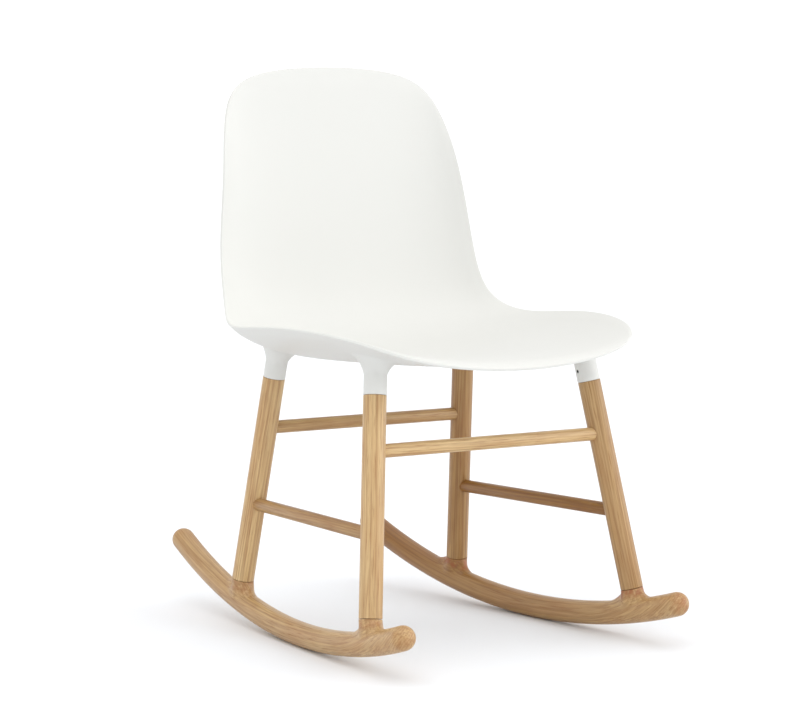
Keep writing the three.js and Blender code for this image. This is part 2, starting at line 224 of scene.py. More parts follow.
def moulded_polypropylene(settings):
    """White polypropylene from a spark-eroded mould: matte, a soft broad gloss, no grain."""
    material, tree = start_material("polypropylene_moulded_matte")
    place = add_node(tree, "ShaderNodeTexCoord", {}).outputs["Object"]
    # The mould's texture is about 0.15 mm; it is drawn at 1.5 mm, the finest that shows.
    texture = add_node(tree, "ShaderNodeTexNoise", {
        "Vector": place, "Scale": 1 / (1.5 * MM), "Detail": 1.0, "Roughness": 0.5})
    flow = add_node(tree, "ShaderNodeTexNoise", {
        "Vector": place, "Scale": 1 / (120 * MM), "Detail": 2.0, "Roughness": 0.5})
    colour = add_node(tree, "ShaderNodeMix", {
        "Factor": flow.outputs["Fac"], 6: settings.colour,
        7: [c * 0.985 for c in settings.colour[:3]] + [1]}, data_type="RGBA")
    gloss = add_node(tree, "ShaderNodeMapRange", {
        "Value": texture.outputs["Fac"], "From Min": 0.3, "From Max": 0.7,
        "To Min": 0.46, "To Max": 0.54})
    relief = add_node(tree, "ShaderNodeBump", {
        "Height": texture.outputs["Fac"], "Strength": 0.12, "Distance": 0.1 * MM})
    surface = add_node(tree, "ShaderNodeBsdfPrincipled", {
        "Base Color": colour.outputs[2], "Roughness": gloss.outputs[0],
        "Normal": relief.outputs[0], "IOR": 1.49})
    add_node(tree, "ShaderNodeOutputMaterial", {"Surface": surface.outputs[0]})
    return material


def turned_oak(settings):
    """Oak turned, sanded and oiled: straight grain, short dark pores, a low warm sheen."""
    material, tree = start_material("oak_turned_and_oiled")
    grain = add_node(tree, "ShaderNodeAttribute", {}, attribute_name="grain").outputs["Vector"]
    stub = add_node(tree, "ShaderNodeAttribute", {}, attribute_name="stub").outputs["Fac"]

    def stretched_noise(across, along, detail, vector):
        """Noise with features that wide across the grain and that long along it."""
        squeezed = add_node(tree, "ShaderNodeMapping", {
            "Vector": vector, "Scale": (1 / across, 1 / across, 1 / along)})
        return add_node(tree, "ShaderNodeTexNoise", {
            "Vector": squeezed.outputs[0], "Scale": 1.0, "Detail": detail, "Roughness": 0.55})

    # The tone attribute is painted shade: it darkens each piece, and each rocker from front to
    # back, for the shade it stands in.
    piece_painted_shade = add_node(tree, "ShaderNodeAttribute", {}, attribute_name="tone").outputs["Fac"]
    sway = stretched_noise(40 * MM, 260 * MM, 1.0, grain)
    swayed = add_node(tree, "ShaderNodeVectorMath", {
        0: sway.outputs["Color"], 1: (7 * MM, 7 * MM, 0), 2: grain},
        operation="MULTIPLY_ADD").outputs[0]
    flat = add_node(tree, "ShaderNodeVectorMath", {
        0: swayed, 1: (1, 1, 0)}, operation="MULTIPLY").outputs[0]
    pith = add_node(tree, "ShaderNodeVectorMath", {0: flat}, operation="LENGTH").outputs["Value"]
    # Growth rings of 3 mm: an open early band that fades into dense late wood.
    turns = add_node(tree, "ShaderNodeMath", {0: pith, 1: 3.0 * MM}, operation="DIVIDE").outputs[0]
    phase = add_node(tree, "ShaderNodeMath", {0: turns}, operation="FRACT").outputs[0]
    early = add_node(tree, "ShaderNodeValToRGB", {"Fac": phase})
    ramp = early.color_ramp
    ramp.interpolation = "EASE"
    ramp.elements[0].position, ramp.elements[0].color = 0.0, (0, 0, 0, 1)
    ramp.elements[1].position, ramp.elements[1].color = 1.0, (0, 0, 0, 1)
    for position, value in ((0.12, 1.0), (0.35, 0.65), (0.7, 0.1)):
        ramp.elements.new(position).color = (value, value, value, 1)
    # Pores are about 0.3 mm wide; they are drawn at 0.8 mm, the finest that shows.
    pores = stretched_noise(0.8 * MM, 30 * MM, 2.0, swayed)
    pore = add_node(tree, "ShaderNodeMapRange", {
        "Value": pores.outputs["Fac"], "From Min": 0.52, "From Max": 0.68}).outputs[0]
    banded = add_node(tree, "ShaderNodeMapRange", {
        "Value": early.outputs[0], "To Min": 0.35, "To Max": 1.0}).outputs[0]
    dark = add_node(tree, "ShaderNodeMath", {0: pore, 1: banded}, operation="MULTIPLY").outputs[0]
    streaks = stretched_noise(3 * MM, 160 * MM, 3.0, swayed)
    streak = add_node(tree, "ShaderNodeMapRange", {
        "Value": streaks.outputs["Fac"], "From Min": 0.38, "From Max": 0.66}).outputs[0]
    patches = stretched_noise(18 * MM, 90 * MM, 2.0, grain)
    patch = add_node(tree, "ShaderNodeMapRange", {
        "Value": patches.outputs["Fac"], "From Min": 0.4, "From Max": 0.75}).outputs[0]

    middle = [0.5 * a + 0.5 * b for a, b in zip(settings.light_oak, settings.dark_oak)]
    tone = add_node(tree, "ShaderNodeMath", {
        0: early.outputs[0], 1: 0.35, 2: streak}, operation="MULTIPLY_ADD").outputs[0]
    body = add_node(tree, "ShaderNodeMix", {
        "Factor": tone, 6: settings.light_oak, 7: middle}, data_type="RGBA").outputs[2]
    warmed = add_node(tree, "ShaderNodeMath", {0: patch, 1: 0.42}, operation="MULTIPLY").outputs[0]
    warm = add_node(tree, "ShaderNodeMix", {
        "Factor": warmed, 6: body, 7: linear("#AE7A43")}, data_type="RGBA").outputs[2]
    # Painted shade: a darker copy of the oak, mixed in by each piece's tone.
    shaded_oak_colour = add_node(tree, "ShaderNodeMix", {
        "Factor": 1.0, 6: warm, 7: linear("#AD8B4A")}, data_type="RGBA", blend_type="MULTIPLY")
    with_painted_shade = add_node(tree, "ShaderNodeMix", {
        "Factor": piece_painted_shade, 6: warm, 7: shaded_oak_colour.outputs[2]}, data_type="RGBA").outputs[2]
    # The stubs stand across the rod's grain, so their cut ends drink more oil.
    uneven = add_node(tree, "ShaderNodeMapRange", {
        "Value": stretched_noise(7 * MM, 7 * MM, 1.0, grain).outputs["Fac"],
        "From Min": 0.4, "From Max": 0.6, "To Min": 0.15, "To Max": 0.85}).outputs[0]
    soaked = add_node(tree, "ShaderNodeMath", {0: stub, 1: uneven}, operation="MULTIPLY").outputs[0]
    oiled = add_node(tree, "ShaderNodeMix", {
        "Factor": soaked, 6: with_painted_shade, 7: linear("#96552C")}, data_type="RGBA").outputs[2]
    pored = add_node(tree, "ShaderNodeMath", {0: dark, 1: 0.75}, operation="MULTIPLY").outputs[0]
    colour = add_node(tree, "ShaderNodeMix", {
        "Factor": pored, 6: oiled, 7: settings.dark_oak}, data_type="RGBA").outputs[2]
    gloss = add_node(tree, "ShaderNodeMapRange", {
        "Value": dark, "To Min": 0.36, "To Max": 0.6}).outputs[0]
    relief = add_node(tree, "ShaderNodeBump", {
        "Height": dark, "Strength": 0.35, "Distance": 0.15 * MM}, invert=True).outputs[0]
    surface = add_node(tree, "ShaderNodeBsdfPrincipled", {
        "Base Color": colour, "Roughness": gloss, "Normal": relief, "IOR": 1.5})
    add_node(tree, "ShaderNodeOutputMaterial", {"Surface": surface.outputs[0]})
    return material


def milled_beech():
    """Beech dowel rod, milled and left raw: pale pink-brown with fine short flecks."""
    material, tree = start_material("beech_milled_raw")
    place = add_node(tree, "ShaderNodeTexCoord", {}).outputs["Object"]
    squeezed = add_node(tree, "ShaderNodeMapping", {
        "Vector": place, "Scale": (1 / (0.8 * MM), 1 / (0.8 * MM), 1 / (5 * MM))})
    flecks = add_node(tree, "ShaderNodeTexNoise", {
        "Vector": squeezed.outputs[0], "Scale": 1.0, "Detail": 2.0})
    colour = add_node(tree, "ShaderNodeMix", {
        "Factor": flecks.outputs["Fac"], 6: linear("#DDBB92"), 7: linear("#BE9468")},
        data_type="RGBA")
    relief = add_node(tree, "ShaderNodeBump", {
        "Height": flecks.outputs["Fac"], "Strength": 0.3, "Distance": 0.1 * MM})
    surface = add_node(tree, "ShaderNodeBsdfPrincipled", {
        "Base Color": colour.outputs[2], "Roughness": 0.7, "Normal": relief.outputs[0],
        "IOR": 1.5})
    add_node(tree, "ShaderNodeOutputMaterial", {"Surface": surface.outputs[0]})
    return material


def blackened_steel():
    """Steel screws turned and black-oxidised: near black, a dull metal gloss that varies."""
    material, tree = start_material("steel_black_oxide")
    place = add_node(tree, "ShaderNodeTexCoord", {}).outputs["Object"]
    bloom = add_node(tree, "ShaderNodeTexNoise", {
        "Vector": place, "Scale": 1 / (1.2 * MM), "Detail": 3.0})
    colour = add_node(tree, "ShaderNodeMix", {
        "Factor": bloom.outputs["Fac"], 6: linear("#131314"), 7: linear("#232221")},
        data_type="RGBA")
    gloss = add_node(tree, "ShaderNodeMapRange", {
        "Value": bloom.outputs["Fac"], "To Min": 0.45, "To Max": 0.65})
    surface = add_node(tree, "ShaderNodeBsdfPrincipled", {
        "Base Color": colour.outputs[2], "Metallic": 1.0, "Roughness": gloss.outputs[0]})
    add_node(tree, "ShaderNodeOutputMaterial", {"Surface": surface.outputs[0]})
    return material


def painted_floor(settings):
    """A seamless studio floor, rolled with matte paint: pale and even, no reflection."""
    material, tree = start_material("floor_matte_paint")
    place = add_node(tree, "ShaderNodeTexCoord", {}).outputs["Object"]
    roller = add_node(tree, "ShaderNodeTexNoise", {
        "Vector": place, "Scale": 1 / (4 * MM), "Detail": 1.0})
    colour = add_node(tree, "ShaderNodeMix", {
        "Factor": roller.outputs["Fac"], 6: settings.floor_colour,
        7: [c * 0.99 for c in settings.floor_colour[:3]] + [1]}, data_type="RGBA")
    surface = add_node(tree, "ShaderNodeBsdfPrincipled", {
        "Base Color": colour.outputs[2], "Roughness": 0.9, "Specular IOR Level": 0.1})
    add_node(tree, "ShaderNodeOutputMaterial", {"Surface": surface.outputs[0]})
    return material


def oak_finish(base):
    """The one oak finish that all the wooden pieces share."""
    return bpy.data.materials.get("oak_turned_and_oiled") or turned_oak(base)


def white_studio(settings):
    """A white cyclorama: brightest low down, with a broad soft light to the right."""
    world = bpy.data.worlds.new("white_studio")
    world.use_nodes = True
    tree = world.node_tree
    tree.nodes.clear()
    way = add_node(tree, "ShaderNodeTexCoord", {}).outputs["Generated"]
    height = add_node(tree, "ShaderNodeSeparateXYZ", {0: way}).outputs["Z"]
    upper = add_node(tree, "ShaderNodeMapRange", {
        "Value": height, "From Min": DIMMING[0], "From Max": DIMMING[1],
        "To Min": settings.surround, "To Max": settings.surround * DIMMED},
        interpolation_type="SMOOTHSTEP").outputs[0]
    towards = add_node(tree, "ShaderNodeVectorMath", {
        0: way, 1: GLOW_WAY}, operation="DOT_PRODUCT")
    glow = add_node(tree, "ShaderNodeMapRange", {
        "Value": towards.outputs["Value"], "From Min": GLOW_EDGES[0], "From Max": GLOW_EDGES[1],
        "To Min": 0.0, "To Max": settings.side_light},
        interpolation_type="SMOOTHSTEP").outputs[0]
    strength = add_node(tree, "ShaderNodeMath", {0: upper, 1: glow}, operation="ADD").outputs[0]
    light = add_node(tree, "ShaderNodeBackground", {"Color": (1, 1, 1, 1), "Strength": strength})
    add_node(tree, "ShaderNodeOutputWorld", {"Surface": light.outputs[0]})
    return world


# ---- Mesh helpers --------------------------------------------------------------------------------


def finish_piece(name, node, bm, material, sharp_angle=40):
    """Turns a bmesh into a shown piece of the chair that stands for a node of the frame.

    A smooth skin stands a hair outside a faceted one, so it is drawn in to the node's own box.
    """
    points = np.array([vert.co for vert in bm.verts])
    low, high = points.min(0), points.max(0)
    for i, (least, most) in enumerate(zip(*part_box(node))):
        least, most = max(least, low[i]), min(most, high[i])
        points[:, i] = least + (points[:, i] - low[i]) * (most - least) / (high[i] - low[i])
    for vert, point in zip(bm.verts, points):
        vert.co = point
    bmesh.ops.recalc_face_normals(bm, faces=bm.faces)
    for face in bm.faces:
        face.smooth = True
    sharp = math.radians(sharp_angle)
    for edge in bm.edges:
        edge.smooth = len(edge.link_faces) == 2 and edge.calc_face_angle() < sharp
    mesh = bpy.data.meshes.new(name)
    bm.to_mesh(mesh)
    bm.free()
    mesh.materials.append(material)
    piece = bpy.data.objects.new(name, mesh)
    bpy.context.scene.collection.objects.link(piece)
    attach(piece, "root")
    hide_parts(node)


def spun(profile, segments):
    """A closed turned body: (radius, height) points from axis to axis, spun about +Z."""
    bm = bmesh.new()
    verts = [bm.verts.new((radius, 0, height)) for radius, height in profile]
    edges = [bm.edges.new(pair) for pair in zip(verts, verts[1:])]
    bmesh.ops.spin(bm, geom=verts + edges, cent=(0, 0, 0), axis=UP, dvec=(0, 0, 0),
                   angle=2 * math.pi, steps=segments, use_merge=True, use_duplicate=False)
    bmesh.ops.remove_doubles(bm, verts=bm.verts, dist=0.001 * MM)
    bmesh.ops.recalc_face_normals(bm, faces=bm.faces)
    return bm


def rounded(corner, radius, first, last, steps=3):
    """Points of a quarter-round in a profile: its centre, radius, first and last angle."""
    turns = np.radians(np.linspace(first, last, steps + 1))
    return [(corner[0] + radius * math.cos(a), corner[1] + radius * math.sin(a)) for a in turns]


def stand(bm, place, direction):
    """Moves a body made about +Z so that it starts at place and points in direction."""
    turn = UP.rotation_difference(direction).to_matrix().to_4x4()
    bmesh.ops.transform(bm, matrix=Matrix.Translation(place) @ turn, verts=bm.verts)


def mark_grain(bm, origin, along, number, tone):
    """Gives each vertex its place in the wood: across, across and along, from the tree's pith."""
    layer = bm.verts.layers.float_vector.new("grain")
    soaked, dark = bm.verts.layers.float.new("stub"), bm.verts.layers.float.new("tone")
    turn = along.rotation_difference(UP).to_matrix()
    # Each blank has its own turn, distance from the pith and height in the tree.
    spin = Matrix.Rotation(number * 2.4, 3, "Z")
    pith = Vector(((46 + 7 * (number % 4)) * MM, (5 * (number % 3) - 5) * MM, number * 0.73))
    for vert in bm.verts:
        vert[layer] = spin @ (turn @ (vert.co - origin)) + pith
        # tone is the painted shade of the whole piece.
        vert[soaked], vert[dark] = 0.0, tone


def merge_bodies(bodies):
    """One bmesh that holds several closed bodies."""
    whole = bmesh.new()
    for body in bodies:
        mesh = bpy.data.meshes.new("part")
        body.to_mesh(mesh)
        whole.from_mesh(mesh)
        bpy.data.meshes.remove(mesh)
    return whole


def cut(bm, tools):
    """Cuts closed tool bodies, which have to stand clear of each other, out of a closed body."""
    meshes = []
    objects = []
    for body in [bm, merge_bodies(tools)]:
        mesh = bpy.data.meshes.new("cut")
        body.to_mesh(mesh)
        meshes.append(mesh)
        thing = bpy.data.objects.new("cut", mesh)
        bpy.context.scene.collection.objects.link(thing)
        objects.append(thing)
    modifier = objects[0].modifiers.new("cut", "BOOLEAN")
    modifier.operation, modifier.solver, modifier.object = "DIFFERENCE", "EXACT", objects[1]
    result = bmesh.new()
    result.from_object(objects[0], bpy.context.evaluated_depsgraph_get())
    for thing, mesh in zip(objects, meshes):
        bpy.data.objects.remove(thing)
        bpy.data.meshes.remove(mesh)
    return result


def bezier(t, first, second, last):
    """A cubic curve from 0 to last, with its two middle control values."""
    return 3 * (1 - t) ** 2 * t * first + 3 * (1 - t) * t**2 * second + t**3 * last


def flared_post(wall, seam, axis, aim, radius, bore, depth, foot, high, bite, edge, columns=96):
    """A round post that grows from a seam square to axis, runs along aim and flows into a wall.

    The end at the seam has a blind bore and a softened edge. For a direction out of the post, foot
    says how far out the post meets the wall, which it enters by the bite. Where the wall is too
    narrow, the post meets it at its edge. The flare begins that high above the nearest foot. Each
    column leaves the post almost upright and arrives along the wall.
    """
    side = axis.orthogonal().normalized()
    other = axis.cross(side)
    straight, curved = 5, 12
    blunt, mouth = 0.5 * MM, 0.4 * MM  # of the bore's far end and its mouth
    end = [(bore - blunt, depth), (bore, depth - blunt), (bore, mouth), (bore + mouth, 0)]
    end += rounded((radius - edge, edge), edge, -90, 0)

    def height(reach, outwards=Vector((1, 0, 0))):
        """How far below the seam the wall is, that far out in a direction."""
        hit = wall.ray_cast(seam + outwards * reach, aim)
        return math.inf if hit[0] is None else hit[3] + bite

    feet = []
    for column in range(columns):
        angle = 2 * math.pi * column / columns
        outwards = side * math.cos(angle) + other * math.sin(angle)
        reach = foot(outwards)
        while height(reach, outwards) == math.inf:
            reach -= POST_STEP
        before = height(reach - SLOPE_RUN, outwards)
        feet.append((outwards, reach, height(reach, outwards), before))
    start = max(min(top for _, _, top, _ in feet) - high, 2 * edge)
    rings = []
    for outwards, reach, top, before in feet:
        wide, rise = reach - radius, top - start
        climb = min((top - before) / SLOPE_RUN * FLARE_RUN * wide, FLARE_CLIMB * rise)
        line = list(end)
        line += [(radius, edge + (start - edge) * i / straight) for i in range(1, straight)]
        for i in range(curved + 1):
            t = i / curved
            out = bezier(t, *(share * wide for share in FLARE_WIDTHS), wide)
            up = bezier(t, FLARE_RISE * rise, rise - climb, rise)
            line.append((radius + out, start + up))
        line.append((reach, top + POST_SINK))
        line += [
            (radius * share, height(radius * share, outwards) + POST_SINK)
            for share in (0.9, 0.5)]
        rings.append([
            seam + outwards * r + (aim if i >= len(end) else axis) * h
            for i, (r, h) in enumerate(line)])
    count = len(rings[0])
    bm = spun([(0, 0)] + [(1, level) for level in range(count)] + [(0, count - 1)], columns)
    for vert in bm.verts:
        if vert.co.xy.length < 0.5:
            top = vert.co.z > 0.5
            vert.co = seam + (aim * (height(0) + POST_SINK) if top else axis * depth)
        else:
            column = round(math.atan2(vert.co.y, vert.co.x) / (2 * math.pi) * columns) % columns
            vert.co = rings[column][round(vert.co.z)]
    bmesh.ops.recalc_face_normals(bm, faces=bm.faces)
    return bm


# ---- The shell -----------------------------------------------------------------------------------


def spline(points, t, closed):
    """Points of a uniform cubic B-spline. An open one starts and ends at its end points."""
    points = np.asarray(points, float)
    count = len(points)
    place = (t % 1) * count if closed else t * (count - 1)
    first = np.minimum(np.floor(place).astype(int), count - (1 if closed else 2))
    f = (place - first)[..., None]
    if closed:
        padded = np.concatenate([points[-1:], points, points[:2]])
    else:
        before, after = 2 * points[:1] - points[1:2], 2 * points[-1:] - points[-2:-1]
        padded = np.concatenate([before, points, after])
    weights = ((1 - f) ** 3, 3 * f**3 - 6 * f**2 + 4, -3 * f**3 + 3 * f**2 + 3 * f + 1, f**3)
    return sum(weight * padded[first + k] for k, weight in enumerate(weights)) / 6


def rim(turns):
    """Points of the shell's rim: 0 turns is the front middle and 0.5 the top middle."""
    left = np.array(RIM_CONTROL, float) * MM
    control = np.concatenate([left, left[::-1] * (-1, 1, 1)])
    return spline(control, turns - 0.5 / len(control), True)


def centre_line(v):
    """Points down the middle of the shell, from the front edge to the top edge."""
    points = spline(np.array(CENTRE_CONTROL, float) * MM, v, False)
    return np.concatenate([np.zeros(points.shape[:-1] + (1,)), points], -1)


def stretched(u, v):
    """A patch stretched between the rim's four sides."""
    along = FRONT_CORNER + (TOP_CORNER - FRONT_CORNER) * v
    a, b = u[..., None], v[..., None]
    front, top = rim((2 * u - 1) * FRONT_CORNER), rim(1 - TOP_CORNER + (2 * TOP_CORNER - 1) * u)
    patch = front * (1 - b) + top * b + rim(-along) * (1 - a) + rim(along) * a
    low_right, low_left = rim(np.array(-FRONT_CORNER)), rim(np.array(FRONT_CORNER))
    high_right, high_left = rim(np.array(-TOP_CORNER)), rim(np.array(TOP_CORNER))
    patch -= low_right * (1 - a) * (1 - b) + low_left * a * (1 - b)
    return patch - high_right * (1 - a) * b - high_left * a * b


def wall_middle(u, v):
    """The middle of the shell's wall: u runs right to left, v from the front to the top edge."""
    dish = centre_line(v) - stretched(np.full_like(v, 0.5), v)
    b = v[..., None]
    dish -= (centre_line(np.zeros(1)) - rim(np.zeros(1)))[0] * (1 - b)
    dish -= (centre_line(np.ones(1)) - rim(np.full(1, 0.5)))[0] * b
    return stretched(u, v) + dish * (1 - np.abs(2 * u - 1) ** DISH_POWER)[..., None]


def smoothstep(t, low, high):
    """Rises softly from 0 at low to 1 at high."""
    share = np.clip((t - low) / (high - low), 0, 1)
    return share * share * (3 - 2 * share)


def graded(count, edge, rounds=6):
    """Shares from 0 to 1, close together at both ends to follow the rim's half-round."""
    start = edge * (1 - np.cos(np.linspace(0, math.pi / 2, rounds + 1)))
    return np.concatenate([start[:-1], np.linspace(edge, 1 - edge, count), 1 - start[::-1][1:]])


def shell_wall(settings):
    """Both faces of the wall, which thins towards its rim and meets in a half round there."""
    edges = settings.rim / 2 / SHELL_WIDTH, settings.rim / 2 / SHELL_RUN
    columns, rows = graded(WALL_COLUMNS, edges[0]), graded(WALL_ROWS, edges[1])
    bm = bmesh.new()
    bmesh.ops.create_grid(bm, x_segments=len(columns) - 1, y_segments=len(rows) - 1, size=0.5)
    upper = list(bm.verts)
    place = np.array([vert.co for vert in upper]) + 0.5
    u = columns[np.rint(place[:, 0] * (len(columns) - 1)).astype(int)]
    v = rows[np.rint(place[:, 1] * (len(rows) - 1)).astype(int)]
    step = 0.002
    across = wall_middle(np.minimum(u + step, 1), v) - wall_middle(np.maximum(u - step, 0), v)
    along = wall_middle(u, np.minimum(v + step, 1)) - wall_middle(u, np.maximum(v - step, 0))
    normal = np.cross(across, along)
    normal /= np.linalg.norm(normal, axis=1)[:, None]
    seat = (1 - smoothstep(v, *SEAT_END)) * smoothstep(v, 0, SEAT_START) * (1 - (2 * u - 1) ** 2)
    half = (settings.wall + settings.seat_extra * seat) / 2
    inwards = np.minimum(np.minimum(u, 1 - u) * SHELL_WIDTH, np.minimum(v, 1 - v) * SHELL_RUN)
    thinned = settings.rim / settings.wall
    half = half * (thinned + (1 - thinned) * smoothstep(inwards, 0, RIM_TAPER))
    half = half * np.sqrt(1 - (1 - np.clip(inwards / (settings.rim / 2), 0, 1)) ** 2)
    middle = wall_middle(u, v)
    copied = bmesh.ops.duplicate(bm, geom=bm.verts[:] + bm.edges[:] + bm.faces[:])
    lower = [copied["vert_map"][vert] for vert in upper]
    for side, verts in ((1, upper), (-1, lower)):
        for vert, point in zip(verts, middle + side * half[:, None] * normal):
            vert.co = point
    rim_verts = [vert for vert in bm.verts if vert.is_boundary]
    bmesh.ops.remove_doubles(bm, verts=rim_verts, dist=0.001 * MM)
    bmesh.ops.recalc_face_normals(bm, faces=bm.faces)
    return bm


# ---- Where the legs stand ------------------------------------------------------------------------


def leg_line(end, side):
    """A leg's foot, head and unit axis, checked against the frame's own leg."""
    foot, head = (Vector((point.x * SIDES[side], point.y, point.z)) for point in LEGS[end])
    low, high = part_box(f"leg_{end}_{side}")
    slack = 2 * MM
    for point in (foot, head):
        if any(not low[i] - slack < point[i] < high[i] + slack for i in range(3)):
            raise ValueError(f"leg_{end}_{side} isn't where the frame has it")
    return foot, head, (head - foot).normalized()


def screw_line(end, side):
    """Where a leg's screw crosses the leg's axis, and the way its head faces."""
    _, head, axis = leg_line(end, side)
    mate = 1 if end == "front" else -1
    out = Vector((-SIDES[side] * math.cos(SCREW_TURN), mate * math.sin(SCREW_TURN), 0))
    return head + axis * SCREW_HEIGHT, (out - axis * out.dot(axis)).normalized()


PAIRS = [(end, side) for end in LEGS for side in SIDES]
# Painted shade: how much darker each piece's oak is painted, to stand for the shade it stands in.
# It gets no darker past 1.
LEG_PAINTED_SHADES = (0.5, 0.1, 0.68, 0.1)
RUNG_PAINTED_SHADES = (0.0, 0.38, 0.95, 0.62)
ROCKER_PAINTED_SHADES = ((0.34, 1.05), (0.3, 0.45))  # at the front and at the back of each
STUB_STAINS = (1.0, 0.4)  # how much darker oil makes the stubs and ends of each rocker


class CHAIR_OT_shell(bpy.types.Operator):
    """Build the moulded seat and back with its four leg sockets"""

    bl_idname = "chair.shell"
    bl_label = "Seat shell"

    def execute(self, context):
        settings, base = context.scene.chair_shell, context.scene.chair_base
        wide, high = settings.socket_flare
        wall = shell_wall(settings)
        tree = BVHTree.FromBMesh(wall)
        bodies = [wall]
        for end, side in PAIRS:
            _, head, axis = leg_line(end, side)
            socket = flared_post(
                tree, head + axis * GAP / 2, axis, axis, base.leg_radius, SPIGOT_RADIUS + GAP,
                SPIGOT_LENGTH + GAP, lambda _: base.leg_radius + wide, high, bite=0.05 * MM,
                edge=0.5 * MM)
            place, out = screw_line(end, side)
            mouth = base.leg_radius
            recess = spun([
                (0, SCREW_SEAT - GAP), (RECESS_RADIUS, SCREW_SEAT - GAP),
                (RECESS_RADIUS, mouth - 0.9 * MM), (RECESS_RADIUS + 0.3 * MM, mouth - 0.5 * MM),
                (RECESS_RADIUS + 0.9 * MM, mouth + 0.2 * MM),
                (RECESS_RADIUS + 0.9 * MM, mouth + 5 * MM), (0, mouth + 5 * MM)], 48)
            hole = spun([
                (0, 5 * MM), (SCREW_SHANK + GAP, 5 * MM), (SCREW_SHANK + GAP, mouth),
                (0, mouth)], 32)
            # These tools overlap, which the solver doesn't resolve: only the hole is cut, and the
            # recess is missing, so the screw's head is buried in the socket's wall.
            for tool in (recess, hole):
                stand(tool, place, out)
            bodies.append(cut(socket, [recess, hole]))
        finish_piece("moulded_shell", "seat_shell", merge_bodies(bodies),
                     moulded_polypropylene(settings))
        return {"FINISHED"}


class CHAIR_OT_legs(bpy.types.Operator):
    """Turn the four legs, each with a spigot at its head and a dowel hole in its foot"""

    bl_idname = "chair.legs"
    bl_label = "Legs"

    def execute(self, context):
        base = context.scene.chair_base
        radius, bore, edge = base.leg_radius, DOWEL_RADIUS + GAP, 0.5 * MM
        for number, (end, side) in enumerate(PAIRS):
            foot, head, axis = leg_line(end, side)
            shoulder = (head - foot).length - GAP / 2
            tip = shoulder + SPIGOT_LENGTH
            bm = spun([
                (0, DOWEL_REACH), (bore, DOWEL_REACH), (bore, 0),
                *rounded((radius - edge, edge), edge, -90, 0),
                *rounded((radius - edge, shoulder - edge), edge, 0, 90),
                (SPIGOT_RADIUS, shoulder), (SPIGOT_RADIUS, tip - MM), (SPIGOT_RADIUS - MM, tip),
                (0, tip)], 64)
            stand(bm, foot, axis)
            # Each leg gets its own painted shade.
            mark_grain(bm, foot, axis, number, LEG_PAINTED_SHADES[number])
            finish_piece(f"oak_leg_{end}_{side}", f"leg_{end}_{side}", bm, oak_finish(base))
        return {"FINISHED"}


def rung_lines():
    """Each rung's name and the points on the two legs' axes that it runs between."""
    lines = []
    for end in LEGS:
        ends = [leg_line(end, side) for side in SIDES]
        lines.append((end, [foot.lerp(head, CROSS_RUNG[end]) for foot, head, _ in ends]))
    for side in SIDES:
        ends = [(leg_line(end, side), SIDE_RUNG[end]) for end in LEGS]
        lines.append((side, [leg[0].lerp(leg[1], share) for leg, share in ends]))
    return lines


class CHAIR_OT_rungs(bpy.types.Operator):
    """Turn the four rungs, each let into two legs"""

    bl_idname = "chair.rungs"
    bl_label = "Rungs"

    def execute(self, context):
        base = context.scene.chair_base
        radius, edge = base.rung_radius, 1.2 * MM
        for number, (name, (start, stop)) in enumerate(rung_lines()):
            span = (stop - start).length
            bm = spun([
                (0, RUNG_INSET), *rounded((radius - edge, RUNG_INSET + edge), edge, -90, 0),
                *rounded((radius - edge, span - RUNG_INSET - edge), edge, 0, 90),
                (0, span - RUNG_INSET)], 48)
            direction = (stop - start).normalized()
            stand(bm, start, direction)
            # Each rung gets its own painted shade.
            mark_grain(bm, start, direction, number + len(PAIRS), RUNG_PAINTED_SHADES[number])
            finish_piece(f"oak_rung_{name}", f"rung_{name}", bm, oak_finish(base))
        return {"FINISHED"}


def rocker_rod(radius):
    """The round rod, bent to an arc in the YZ plane, with a dome at each end."""
    bm = bmesh.new()
    bend = FLOOR_RADIUS - radius
    hub = Vector((0, 0, FLOOR_RADIUS))
    bmesh.ops.create_circle(bm, cap_ends=False, segments=56, radius=radius)
    start = Matrix.Translation((0, 0, radius)) @ Matrix.Rotation(math.pi / 2, 4, "X")
    first = Matrix.Rotation(ROCKER_ENDS[0], 4, "X") @ Matrix.Translation(-hub)
    bmesh.ops.transform(bm, matrix=Matrix.Translation(hub) @ first @ start, verts=bm.verts)
    bmesh.ops.spin(bm, geom=bm.verts[:] + bm.edges[:], cent=hub, axis=(1, 0, 0), dvec=(0, 0, 0),
                   angle=ROCKER_ENDS[1] - ROCKER_ENDS[0], steps=150, use_duplicate=False)
    rounds = 12
    for angle, outwards in zip(ROCKER_ENDS, (-1, 1)):
        tangent = Vector((0, math.cos(angle), math.sin(angle))) * outwards
        centre = Vector((0, bend * math.sin(angle), FLOOR_RADIUS - bend * math.cos(angle)))
        edges = [
            edge for edge in bm.edges
            if edge.is_boundary and (edge.verts[0].co - centre).length < 2 * radius]
        for i in range(1, rounds + 1):
            before, now = ((i - 1) / rounds * math.pi / 2, i / rounds * math.pi / 2)
            made = bmesh.ops.extrude_edge_only(bm, edges=edges)["geom"]
            edges = [item for item in made if isinstance(item, bmesh.types.BMEdge)]
            verts = [item for item in made if isinstance(item, bmesh.types.BMVert)]
            at = centre + tangent * radius * math.sin(before)
            if i == rounds:
                bmesh.ops.pointmerge(bm, verts=verts, merge_co=centre + tangent * radius)
                break
            shrink = math.cos(now) / math.cos(before)
            bmesh.ops.scale(bm, vec=(shrink,) * 3, space=Matrix.Translation(-at), verts=verts)
            bmesh.ops.translate(
                bm, vec=tangent * radius * (math.sin(now) - math.sin(before)), verts=verts)
    bmesh.ops.recalc_face_normals(bm, faces=bm.faces)
    return bm


